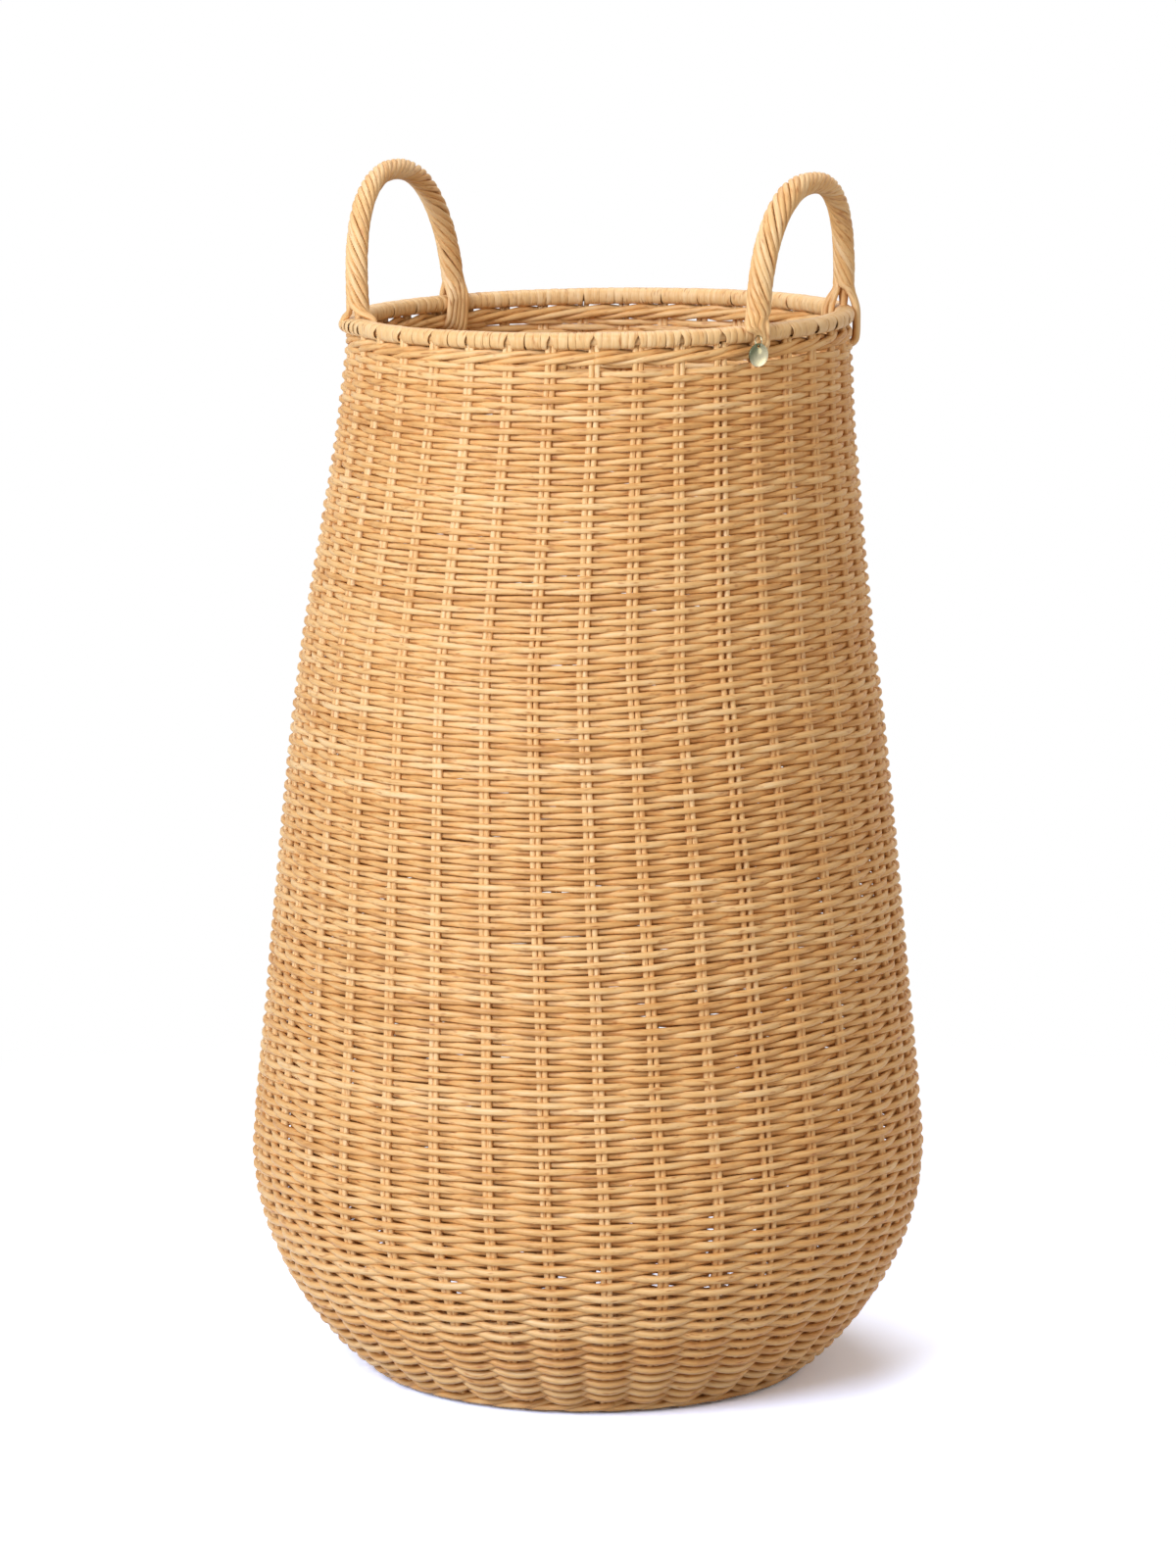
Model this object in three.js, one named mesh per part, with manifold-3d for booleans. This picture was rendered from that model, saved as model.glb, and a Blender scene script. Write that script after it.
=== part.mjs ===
// A tall round laundry basket woven in rattan, with a wrapped rim, two twisted handles and a brass tag.
// Millimetres, +Z up. The origin is on the floor under the middle of the foot.
// The handles stand on +X and -X.

import * as THREE from 'three';
import { mergeVertices } from 'three/addons/utils/BufferGeometryUtils.js';
import Module from 'manifold-3d';

const wasm = await Module();
wasm.setup();

// Shape of the body: the outer face of the weave
const bellyRadius = 200;
const bellyHeight = 135;
const mouthRadius = 147.8;
const mouthHeight = 611;
const mouthLean = 6.7; // how far the mouth leans towards the handle on +X
const leanStart = 440; // height above which the wall leans and below which its stakes drift round
const stakeDrift = 5.6; // degrees that a stake has drifted round where the wall would meet the floor
const footRise = 13.7; // height of the outer edge of the foot wale
const footWaleWidth = 13.5; // across the face that stands on the floor
const footRoundness = 0.85; // power that rounds the wall between the foot and the belly
const courseHeight = 180; // where the rods of the lower weave end and those of the upper weave begin

// Rods
const weaverThickness = 3;
const stakeThickness = 3;
const stakeWidth = 6.4; // two rods side by side
const stakeCount = 37;
const firstStakeAngle = -73; // degrees from +X
const waleThickness = 3.8;
const clearance = 0.3;

// Windows between the stakes: a coarse stand-in for the gaps that woven rods leave beside each stake
const windowShare = 0.42; // of the way from one stake to the next
const windowHeight = 8;
const windowSpacing = 2; // ways between stakes from one window of a row to the next
const lowerWindowRows = 3;
const upperWindowRows = 9;

// Base
const baseRadius = 112.7;
const baseBottom = 5;
const baseThickness = 8;
const spokeWidth = 4;
const spokeThickness = 3;

// Rim
const waleHeight = 9.4;
const rimHeight = 9.7;
const hoopThickness = 3;
const bindingThickness = 0.8;
const stakeEndBelowRim = 4.7; // from the top of the rim down to the tips of the stakes

// Handles
const ropeDiameter = 15.6;
const bowDiameter = 8;
const leftRise = 78.5; // from the top of the rim up to the middle of the rope
const rightRise = 77.4;
const leftApexShift = 8.4; // how far the top of the arch lies outside the chord between its feet
const rightApexShift = 5.1;
const handles = {
  left: {
    side: -1,
    turn: -1.4, // degrees about +Z
    halfSpan: 32.8, // degrees from the middle of the handle to each foot
    rise: leftRise,
    apexShift: leftApexShift,
    squareness: 2.25, // 2 is a half ellipse, more is squarer
    bend: 1.23, // how late on the way up the arch leans out
  },
  right: {
    side: 1,
    turn: -6.1,
    halfSpan: 26.8,
    rise: rightRise,
    apexShift: rightApexShift,
    squareness: 2.45,
    bend: 1.53,
  },
};
const tailThickness = 3.3; // the strands that straddle the rim at each foot of a handle
const tailWidth = 21;
const tailLength = 28;
const tailCap = 3; // how far they reach over the rim
const tenonWidth = 7;

// Tag
const tagAngle = -36; // degrees from +X
const tagRadius = 6.7;
const tagThickness = 1;
const tagEdgeWidth = 0.8;
const tagEdgeHeight = 0.3;
const tagHoleRadius = 0.95;
const tagHoleMargin = 1.8; // from the centre of the hole to the edge of the disc
const tagRingRadius = 3;
const tagWireDiameter = 0.8;
const tagRingDrop = 6.4; // from the top of the rim down to the centre of the ring
const tagRingStandOff = 1.2; // from the face of the tail strands out to the centre of the ring

// Values that follow from the sizes above
const degree = Math.PI / 180;
const footRadius = baseRadius + clearance + footWaleWidth;
const facets = 2 * stakeCount;
const halfFacet = Math.PI / facets;
const wallThickness = 2 * weaverThickness + stakeThickness + 2 * clearance;
const stakeRadius = mouthRadius - wallThickness / 2;
const rimBottom = mouthHeight + clearance + waleHeight + clearance;
const rimTop = rimBottom + rimHeight;
const rimHalfWidth = stakeThickness / 2 + hoopThickness + bindingThickness + 2 * clearance;
const stakeTop = rimTop - stakeEndBelowRim;
const baseTop = baseBottom + baseThickness;
const tailFace = stakeRadius + rimHalfWidth + clearance + tailThickness;

const rattan = new THREE.MeshStandardMaterial({ color: 0xd9ae72, roughness: 0.55, metalness: 0 });
const paleRattan = new THREE.MeshStandardMaterial({ color: 0xe0bb84, roughness: 0.5, metalness: 0 });
const cane = new THREE.MeshStandardMaterial({ color: 0xdcb27a, roughness: 0.45, metalness: 0 });
const brass = new THREE.MeshStandardMaterial({ color: 0xc9b27a, roughness: 0.3, metalness: 1 });

const basket = new THREE.Group();
const mouth = new THREE.Group();
mouth.position.x = mouthLean;
basket.add(mouth);

function addMesh(group, name, geometry, material) {
  const mesh = new THREE.Mesh(geometry, material);
  mesh.name = name;
  group.add(mesh);
  return mesh;
}

function toManifold(geometry) {
  const bare = geometry.clone();
  bare.deleteAttribute('normal');
  bare.deleteAttribute('uv');
  const merged = mergeVertices(bare, 1e-4);
  const vertProperties = new Float32Array(merged.attributes.position.array);
  const triVerts = new Uint32Array(merged.index.array);
  return new wasm.Manifold(new wasm.Mesh({ numProp: 3, vertProperties, triVerts }));
}

function fromManifold(solid) {
  const mesh = solid.getMesh();
  const geometry = new THREE.BufferGeometry();
  geometry.setAttribute('position', new THREE.BufferAttribute(mesh.vertProperties, 3));
  geometry.setIndex(new THREE.BufferAttribute(mesh.triVerts, 1));
  return geometry;
}

// Radius of the outer face of the weave at a height: a rounded foot below the belly, a slow taper above it
const taper = new THREE.SplineCurve([
  new THREE.Vector2(-0.08, 0.047),
  new THREE.Vector2(0, 0),
  new THREE.Vector2(0.2, 0.172),
  new THREE.Vector2(0.51, 0.454),
  new THREE.Vector2(0.7, 0.683),
  new THREE.Vector2(0.89, 0.91),
  new THREE.Vector2(1, 1),
]);

const halvings = 30;

function taperAt(fraction) {
  let low = 0;
  let high = 1;
  for (let step = 0; step < halvings; step += 1) {
    const middle = (low + high) / 2;
    if (taper.getPoint(middle).x < fraction) {
      low = middle;
    } else {
      high = middle;
    }
  }
  return taper.getPoint(low).y;
}

function outerRadius(height) {
  if (height < bellyHeight) {
    const rest = 1 - height / bellyHeight;
    return footRadius + (bellyRadius - footRadius) * (1 - rest ** 2) ** footRoundness;
  }
  const fraction = (height - bellyHeight) / (mouthHeight - bellyHeight);
  return bellyRadius - (bellyRadius - mouthRadius) * taperAt(Math.min(fraction, 1));
}

// A station is one level of the wall: a point of its outer face, the outward normal there, the lean
// and how far the stakes have drifted round
const slopeStep = clearance;

function station(height) {
  const widening = outerRadius(height + slopeStep) - outerRadius(height - slopeStep);
  const normal = new THREE.Vector2(2 * slopeStep, -widening).normalize();
  const lean = (mouthLean * Math.max(height - leanStart, 0)) / (mouthHeight - leanStart);
  const drift = (stakeDrift * degree * Math.max(leanStart - height, 0)) / leanStart;
  return { radius: outerRadius(height), height, normal, lean, drift };
}

function uprightStation(height) {
  return { radius: mouthRadius, height, normal: new THREE.Vector2(1, 0), lean: mouthLean, drift: 0 };
}

const belowBelly = [0.3, 0.63, 1]; // shares of the belly's height
const wallStations = [
  station(footRise),
  ...belowBelly.map((share) => station(bellyHeight * share)),
  station(courseHeight),
  station(leanStart),
  uprightStation(mouthHeight),
  uprightStation(stakeTop),
];

// A level between two stations, on the straight line from one to the next
function levelAt(height) {
  const upper = Math.max(wallStations.findIndex((one) => one.height >= height), 1);
  const from = wallStations[upper - 1];
  const to = wallStations[upper];
  const share = (height - from.height) / (to.height - from.height);
  return {
    radius: THREE.MathUtils.lerp(from.radius, to.radius, share),
    height,
    normal: from.normal.clone().lerp(to.normal, share),
    lean: THREE.MathUtils.lerp(from.lean, to.lean, share),
    drift: THREE.MathUtils.lerp(from.drift, to.drift, share),
  };
}

function levelsBetween(low, high) {
  const inner = wallStations.filter((one) => one.height > low && one.height < high);
  return [levelAt(low), ...inner, levelAt(high)];
}

// A point of the wall: so deep under the outer face, at a stake's angle, so far sideways from the stake
function wallPoint(level, depth, stakeAngle, sideways) {
  const radius = level.radius - depth * level.normal.x;
  const angle = stakeAngle + level.drift;
  const x = radius * Math.cos(angle) - sideways * Math.sin(angle);
  const y = radius * Math.sin(angle) + sideways * Math.cos(angle);
  return new THREE.Vector3(x + level.lean, y, level.height - depth * level.normal.y);
}

function stakeAngleAt(number) {
  return firstStakeAngle * degree + (number * 2 * Math.PI) / stakeCount;
}

function meshFromQuads(points, quads) {
  const triangles = quads.flatMap(([a, b, c, d]) => [a, b, c, a, c, d]);
  const geometry = new THREE.BufferGeometry().setFromPoints(points);
  geometry.setIndex(triangles);
  return geometry;
}

// The eight corners of one sector of the wall at one level: outer face, channel for the stakes, inner face
function sectorCorners(level, number, skin) {
  const angle = stakeAngleAt(number);
  const channelHalf = stakeWidth / 2 + clearance;
  const channelOuter = weaverThickness;
  const channelInner = weaverThickness + stakeThickness + 2 * clearance;
  const outer = weaverThickness - skin;
  const inner = channelInner + skin;
  const corners = [];
  for (const depth of [outer, inner]) {
    const facetHalf = (level.radius - depth * level.normal.x) * Math.tan(halfFacet);
    corners.push(wallPoint(level, depth, angle, -facetHalf), wallPoint(level, depth, angle, facetHalf));
  }
  for (const depth of [channelOuter, channelInner]) {
    corners.push(wallPoint(level, depth, angle, -channelHalf), wallPoint(level, depth, angle, channelHalf));
  }
  return corners;
}

// A band of weave: a shell on each side of the stakes, as thick as the skin, with a channel for each pair
function weaveBand(low, high, skin) {
  const levels = levelsBetween(low, high);
  const perSector = 8;
  const perLevel = perSector * stakeCount;
  const points = levels.flatMap((level) =>
    Array.from({ length: stakeCount }, (_, number) => sectorCorners(level, number, skin)).flat());
  const [outA, outB, inA, inB, chOutA, chOutB, chInA, chInB] = Array(perSector).keys();
  const quads = [];
  for (let number = 0; number < stakeCount; number += 1) {
    const here = number * perSector;
    const next = ((number + 1) % stakeCount) * perSector;
    const walls = [
      [here + outA, here + outB], [here + outB, next + outA],
      [here + inB, here + inA], [next + inA, here + inB],
      [here + chOutB, here + chOutA], [here + chOutA, here + chInA],
      [here + chInA, here + chInB], [here + chInB, here + chOutB],
    ];
    for (let step = 0; step + 1 < levels.length; step += 1) {
      const base = step * perLevel;
      for (const [a, b] of walls) {
        quads.push([base + a, base + b, base + perLevel + b, base + perLevel + a]);
      }
    }
    const lid = [
      [here + outA, here + outB, here + chOutB, here + chOutA],
      [here + chInA, here + chInB, here + inB, here + inA],
      [here + outA, here + chOutA, here + chInA, here + inA],
      [here + outB, here + inB, here + chInB, here + chOutB],
      [here + outB, next + outA, next + inA, here + inB],
    ];
    const top = (levels.length - 1) * perLevel;
    for (const quad of lid) {
      quads.push(quad.map((index) => index + top));
      quads.push([...quad].reverse());
    }
  }
  return meshFromQuads(points, quads);
}

// A block across the wall, square to it, midway between two stakes
function windowBlock(number, height) {
  const level = levelAt(height);
  const middle = level.radius - (level.normal.x * wallThickness) / 2;
  const width = (windowShare * 2 * Math.PI * middle) / stakeCount;
  const block = new THREE.BoxGeometry(3 * wallThickness, width, windowHeight);
  block.rotateY(-Math.atan2(level.normal.y, level.normal.x));
  block.translate(middle, 0, height - (level.normal.y * wallThickness) / 2);
  block.rotateZ(stakeAngleAt(number + 0.5) + level.drift);
  return toManifold(block.translate(level.lean, 0, 0));
}

// A band of weave with rows of windows, each row set over the ways that the row below leaves closed
function windowedBand(low, high, rows) {
  const blocks = [];
  for (let row = 0; row < rows; row += 1) {
    const height = low + ((row + 0.5) * (high - low)) / rows;
    for (let number = row % windowSpacing; number + 1 < stakeCount; number += windowSpacing) {
      blocks.push(windowBlock(number, height));
    }
  }
  const band = toManifold(weaveBand(low, high, weaverThickness));
  return fromManifold(band.subtract(wasm.Manifold.union(blocks)));
}

// One pair of stakes, bent along the wall from the foot wale to the rim
function stakePair(number) {
  const levels = levelsBetween(footRise + clearance, stakeTop);
  const depths = [weaverThickness + clearance, weaverThickness + clearance + stakeThickness];
  const half = stakeWidth / 2;
  const angle = stakeAngleAt(number);
  const points = levels.flatMap((level) => [
    wallPoint(level, depths[0], angle, -half), wallPoint(level, depths[0], angle, half),
    wallPoint(level, depths[1], angle, half), wallPoint(level, depths[1], angle, -half),
  ]);
  const top = 4 * (levels.length - 1);
  const quads = [[3, 2, 1, 0], [top, top + 1, top + 2, top + 3]];
  for (let step = 0; step + 1 < levels.length; step += 1) {
    for (let side = 0; side < 4; side += 1) {
      const a = 4 * step + side;
      const b = 4 * step + ((side + 1) % 4);
      quads.push([a, b, b + 4, a + 4]);
    }
  }
  return meshFromQuads(points, quads);
}

// A ring about +Z whose flats face the stakes, from a section of [radius, height] points
function ring(section, drift = 0) {
  const vertexRadius = 1 / Math.cos(halfFacet);
  const profile = [...section, section[0]].map(([r, z]) => new THREE.Vector2(r * vertexRadius, z));
  const start = firstStakeAngle * degree + drift + Math.PI / 2 + halfFacet;
  const geometry = new THREE.LatheGeometry(profile, facets, start, 2 * Math.PI);
  return geometry.rotateX(Math.PI / 2);
}

function rectangleRing(innerRadius, outerRadiusOfRing, low, high) {
  return ring([[innerRadius, low], [outerRadiusOfRing, low], [outerRadiusOfRing, high], [innerRadius, high]]);
}

const footDrift = wallStations[0].drift;

function footWale() {
  const top = levelAt(footRise);
  const innerFoot = baseRadius + clearance;
  const face = [top.radius, top.height];
  const back = [top.radius - wallThickness * top.normal.x, top.height - wallThickness * top.normal.y];
  return ring([[innerFoot, 0], [footRadius, 0], face, back, [innerFoot, baseTop]], footDrift);
}

// A star of spokes, one towards each pair of stakes, widened by an allowance on every side
function spokeStar(allowance, low, high) {
  const half = spokeWidth / 2 + allowance;
  const tip = baseRadius - clearance + allowance;
  const valley = half / Math.sin(Math.PI / stakeCount);
  const outline = [];
  for (let number = 0; number < stakeCount; number += 1) {
    const angle = stakeAngleAt(number) + footDrift;
    for (const side of [-half, half]) {
      const x = tip * Math.cos(angle) - side * Math.sin(angle);
      const y = tip * Math.sin(angle) + side * Math.cos(angle);
      outline.push(new THREE.Vector2(x, y));
    }
    const between = angle + Math.PI / stakeCount;
    outline.push(new THREE.Vector2(valley * Math.cos(between), valley * Math.sin(between)));
  }
  const shape = new THREE.Shape(outline);
  return new THREE.ExtrudeGeometry(shape, { depth: high - low, bevelEnabled: false }).translate(0, 0, low);
}

function baseWeave() {
  const section = [[0, baseBottom], [baseRadius, baseBottom], [baseRadius, baseTop], [0, baseTop]];
  const grooveTop = baseBottom + spokeThickness + clearance;
  const groove = toManifold(spokeStar(clearance, baseBottom - clearance, grooveTop));
  return fromManifold(toManifold(ring(section, footDrift)).subtract(groove));
}

// The bent line of a handle, from one foot to the other, in the frame of the mouth
class HandleArch extends THREE.Curve {
  constructor({ side, turn, halfSpan, rise, apexShift, squareness, bend }) {
    super();
    Object.assign(this, { side, turn, halfSpan, rise, apexShift, squareness, bend });
  }

  getPoint(t, target = new THREE.Vector3()) {
    const cosine = Math.cos(t * Math.PI);
    const power = 2 / this.squareness;
    const across = Math.sign(cosine) * Math.abs(cosine) ** power;
    const up = Math.max(Math.sin(t * Math.PI), 0) ** power;
    const chord = stakeRadius * Math.cos(this.halfSpan * degree);
    const x = this.side * (chord + this.apexShift * up ** this.bend);
    const y = stakeRadius * Math.sin(this.halfSpan * degree) * across;
    target.set(x, y, rimTop + this.rise * up);
    return target.applyAxisAngle(new THREE.Vector3(0, 0, 1), this.turn * degree);
  }

  footAngles() {
    return [0, 1].map((t) => {
      const foot = this.getPoint(t);
      return Math.atan2(foot.y, foot.x);
    });
  }
}

function rodAlong(path, diameter, sides, steps) {
  const radius = diameter / 2;
  const corners = Array.from({ length: sides }, (_, side) => {
    const angle = (side * 2 * Math.PI) / sides;
    return new THREE.Vector2(radius * Math.cos(angle), radius * Math.sin(angle));
  });
  const shape = new THREE.Shape(corners);
  return toManifold(new THREE.ExtrudeGeometry(shape, { steps, extrudePath: path, bevelEnabled: false }));
}

// A block standing on the ring of stakes at an angle, from one radius and height to another
function radialBlock(angle, innerRadius, outerRadiusOfBlock, width, low, high) {
  const depth = outerRadiusOfBlock - innerRadius;
  const block = new THREE.BoxGeometry(depth, width, high - low);
  block.translate(innerRadius + depth / 2, 0, (low + high) / 2);
  return toManifold(block.rotateZ(angle));
}

function rimEnvelope() {
  const low = rimTop - 2 * tailLength;
  const half = rimHalfWidth + clearance;
  return toManifold(rectangleRing(stakeRadius - half, stakeRadius + half, low, rimTop + clearance));
}

const ropeSides = 10;
const bowSides = 8;
const archSteps = 22;
const boreAllowance = 0.36; // on each side of the bow, a little over the clearance because both are faceted

function tenon(angle, allowance) {
  const half = stakeThickness / 2 + allowance;
  const low = stakeTop + clearance - allowance;
  const high = rimTop + bowDiameter / 2;
  return radialBlock(angle, stakeRadius - half, stakeRadius + half, tenonWidth + 2 * allowance, low, high);
}

function handleBow(arch) {
  let bow = rodAlong(arch, bowDiameter, bowSides, archSteps).subtract(rimEnvelope());
  for (const angle of arch.footAngles()) {
    bow = bow.add(tenon(angle, 0));
  }
  return bow;
}

function handleRope(arch) {
  const half = rimHalfWidth + clearance + tailThickness;
  let rope = rodAlong(arch, ropeDiameter, ropeSides, archSteps);
  for (const angle of arch.footAngles()) {
    const low = rimTop - tailLength;
    const high = rimTop + clearance + tailCap;
    rope = rope.add(radialBlock(angle, stakeRadius - half, stakeRadius + half, tailWidth, low, high));
  }
  const bore = rodAlong(arch, bowDiameter + 2 * boreAllowance, bowSides, archSteps);
  return rope.subtract(bore).subtract(rimEnvelope());
}

// The wire ring stands in the upright plane through the axis of the basket at the tag's angle
function placeAtTag(geometry, radius, height) {
  return geometry.translate(radius, 0, height).rotateZ(tagAngle * degree);
}

const wireSides = 6;
const ringSteps = 16;
const discFacets = 28;
const holeFacets = 10;
const tagRingHeight = rimTop - tagRingDrop;
const tagRingCentre = tailFace + tagRingStandOff;

function tagRingOf(wireDiameter) {
  const torus = new THREE.TorusGeometry(tagRingRadius, wireDiameter / 2, wireSides, ringSteps);
  return placeAtTag(torus.rotateX(Math.PI / 2), tagRingCentre, tagRingHeight);
}

function tagDisc() {
  const back = -tagThickness / 2;
  const face = tagThickness / 2 - tagEdgeHeight;
  const innerEdge = tagRadius - tagEdgeWidth;
  const section = [[0, back], [tagRadius, back], [tagRadius, tagThickness / 2], [innerEdge, tagThickness / 2],
    [innerEdge - tagEdgeHeight, face], [0, face], [0, back]];
  const profile = section.map(([r, z]) => new THREE.Vector2(r, z));
  const disc = toManifold(new THREE.LatheGeometry(profile, discFacets));
  const holeOffset = tagRadius - tagHoleMargin;
  const drill = new THREE.CylinderGeometry(tagHoleRadius, tagHoleRadius, 4 * tagThickness, holeFacets);
  const holed = disc.subtract(toManifold(drill.translate(holeOffset, 0, 0)));
  const upright = fromManifold(holed).rotateY(-Math.PI / 2).rotateZ(-Math.PI / 2);
  const centreHeight = tagRingHeight - tagRingRadius - holeOffset;
  return placeAtTag(upright, tagRingCentre, centreHeight);
}

// The base and the foot it stands on
addMesh(basket, 'foot_wale', footWale(), rattan);
addMesh(basket, 'base_weave', baseWeave(), rattan);
addMesh(basket, 'base_spokes', spokeStar(0, baseBottom, baseBottom + spokeThickness), paleRattan);

// The wall: the stakes run up through channels in the weave
const waleBottom = mouthHeight + clearance;
const courseEdges = [courseHeight - clearance / 2, courseHeight + clearance / 2];
const lowerCourse = windowedBand(footRise + clearance, courseEdges[0], lowerWindowRows);
const upperCourse = windowedBand(courseEdges[1], mouthHeight, upperWindowRows);
addMesh(basket, 'lower_weave', lowerCourse, rattan);
addMesh(basket, 'upper_weave', upperCourse, rattan);
addMesh(basket, 'top_wale', weaveBand(waleBottom, waleBottom + waleHeight, waleThickness), rattan);
for (let number = 0; number < stakeCount; number += 1) {
  const label = String(number + 1).padStart(2, '0');
  addMesh(basket, `stake_pair_${label}`, stakePair(number), paleRattan);
}

// The rim: two hoops with the tips of the stakes between them, wrapped in cane
const hoopGap = stakeThickness / 2 + clearance;
const hoopFar = hoopGap + hoopThickness;
const hoopTop = rimTop - bindingThickness - clearance;
const outerHoop = rectangleRing(stakeRadius + hoopGap, stakeRadius + hoopFar, rimBottom, hoopTop);
const innerHoop = rectangleRing(stakeRadius - hoopFar, stakeRadius - hoopGap, rimBottom, hoopTop);
addMesh(mouth, 'rim_hoop_outer', outerHoop, paleRattan);
addMesh(mouth, 'rim_hoop_inner', innerHoop, paleRattan);

const bindingHalf = rimHalfWidth - bindingThickness;
const bindingCeiling = rimTop - bindingThickness;
const bindingSection = [
  [stakeRadius - rimHalfWidth, rimBottom], [stakeRadius - bindingHalf, rimBottom],
  [stakeRadius - bindingHalf, bindingCeiling], [stakeRadius + bindingHalf, bindingCeiling],
  [stakeRadius + bindingHalf, rimBottom], [stakeRadius + rimHalfWidth, rimBottom],
  [stakeRadius + rimHalfWidth, rimTop], [stakeRadius - rimHalfWidth, rimTop],
];
let binding = toManifold(ring(bindingSection));

// The handles: a bow whose ends go down into the rim, inside a rope of twisted rods that straddles the rim
for (const [name, sizes] of Object.entries(handles)) {
  const arch = new HandleArch(sizes);
  let rope = handleRope(arch);
  if (name === 'right') {
    rope = rope.subtract(toManifold(tagRingOf(tagWireDiameter + 2 * clearance)));
  }
  addMesh(mouth, `handle_${name}_bow`, fromManifold(handleBow(arch)), paleRattan);
  addMesh(mouth, `handle_${name}_rope`, fromManifold(rope), rattan);
  for (const angle of arch.footAngles()) {
    binding = binding.subtract(tenon(angle, clearance));
  }
}
addMesh(mouth, 'rim_binding', fromManifold(binding), cane);

// The tag hangs on a wire ring that goes through the strands at the front foot of the right handle
addMesh(mouth, 'tag_ring', tagRingOf(tagWireDiameter), brass);
addMesh(mouth, 'tag_disc', tagDisc(), brass);

export default basket;
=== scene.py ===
# Looks of a tall round laundry basket: the rods of its weave, the wrapped rim, the handles and the tag.
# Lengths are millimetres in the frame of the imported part, and become metres when a mesh is made.

from math import atan2, cos, pi, radians, remainder, sin, sqrt

import bpy
import numpy as np
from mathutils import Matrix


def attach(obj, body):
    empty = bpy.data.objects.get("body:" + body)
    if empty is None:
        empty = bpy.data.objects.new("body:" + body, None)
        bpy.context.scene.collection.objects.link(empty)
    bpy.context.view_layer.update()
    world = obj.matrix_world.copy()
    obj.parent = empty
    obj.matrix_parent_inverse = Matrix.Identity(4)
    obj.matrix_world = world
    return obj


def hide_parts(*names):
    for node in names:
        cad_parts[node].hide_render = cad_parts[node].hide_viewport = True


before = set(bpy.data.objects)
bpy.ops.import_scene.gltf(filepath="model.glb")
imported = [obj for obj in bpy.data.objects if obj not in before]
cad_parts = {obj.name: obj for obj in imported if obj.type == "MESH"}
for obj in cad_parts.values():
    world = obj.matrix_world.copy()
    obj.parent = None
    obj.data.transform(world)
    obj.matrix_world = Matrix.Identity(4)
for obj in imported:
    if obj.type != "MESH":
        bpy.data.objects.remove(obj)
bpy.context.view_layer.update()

MM = 0.001
TURN = 2 * pi
UP = np.array([0.0, 0.0, 1.0])

# The body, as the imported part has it
BASE_RADIUS = 112.7
FOOT_RADIUS = 126.5
BELLY_RADIUS = 200
BELLY_HEIGHT = 135
MOUTH_RADIUS = 147.8
MOUTH_HEIGHT = 611
MOUTH_LEAN = 6.7  # how far towards +X the middle of the mouth stands
LEAN_START = 440
STAKE_DRIFT = radians(5.6)  # how far a stake turns from that height down to the floor
FOOT_RISE = 13.7
FOOT_ROUNDNESS = 0.85
COURSE_HEIGHT = 180
STAKE_COUNT = 37
FIRST_STAKE = radians(-73)
MID_WALL = 5.1  # from the outer face to the middle of the wall
BASE_MIDDLE = 9

# The rim, the handles and the tag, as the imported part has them
RIM_BOTTOM = 621
RIM_TOP = 630.7
RIM_RADIUS = 143
RIM_HALF_WIDTH = 5.9
LEFT_HANDLE = dict(side=-1, turn=-1.4, half_span=32.8, rise=78.5, apex_shift=8.4, squareness=2.25, bend=1.23)
RIGHT_HANDLE = dict(side=1, turn=-6.1, half_span=26.8, rise=77.4, apex_shift=5.1, squareness=2.45, bend=1.53)
TAG_ANGLE = radians(-36)
TAG_RADIUS = 6.7
TAG_RING_RADIUS = 3
TAG_RING_CENTRE = 153.7
TAG_RING_HEIGHT = 624.3

# Only in the scene: the rim and the wale below it tilt a little, up towards the tag
RIM_LIFT = 2.2
LIFT_ANGLE = radians(-80)

# Rods, by radius
STAKE_ROD = 1.65
WALE_ROD = 1.95
BASE_ROD = 1.6
HANDLE_ROD = 1.65


def draws(name):
    """A source of random numbers of its own for each piece, the same in every run."""
    return np.random.default_rng([ord(letter) for letter in name])


def wander(source, places, spacing, size):
    """A smooth random course along a rod: a new value up to size either way at every spacing."""
    knots = np.asarray(places, float) / spacing
    first = int(np.floor(knots.min()))
    values = source.uniform(-size, size, int(np.ceil(knots.max())) - first + 2)
    index = np.floor(knots).astype(int) - first
    share = knots - np.floor(knots)
    ease = share * share * (3 - 2 * share)
    return values[index] * (1 - ease) + values[index + 1] * ease


def unit(vectors):
    return vectors / np.maximum(np.linalg.norm(vectors, axis=-1, keepdims=True), 1e-12)


def smooth_step(low, high, value):
    share = np.clip((value - low) / (high - low), 0, 1)
    return share * share * (3 - 2 * share)


def by_table(value, table):
    return np.interp(value, *zip(*table))


def facing(angle):
    """The outward and the sideways direction at an angle about the basket."""
    cosine, sine = cos(angle), sin(angle)
    return np.array([cosine, sine, 0]), np.array([-sine, cosine, 0])


def turned_points(radius, angle, height, lean=0.0):
    """Points, or directions, at angles about an axis that stands lean towards +X."""
    return np.stack([lean + radius * np.cos(angle), radius * np.sin(angle), height + 0 * angle], -1)


# The outer face of the wall, as radius over height, measured along its arc

TAPER = [(-0.08, 0.047), (0, 0), (0.2, 0.172), (0.51, 0.454), (0.7, 0.683), (0.89, 0.91), (1, 1)]
FINE_BELOW = 40  # the wall turns fast below this height, so the steps are finer
FINE_STEPS = 800
WIDE_STEPS = 2400


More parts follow.
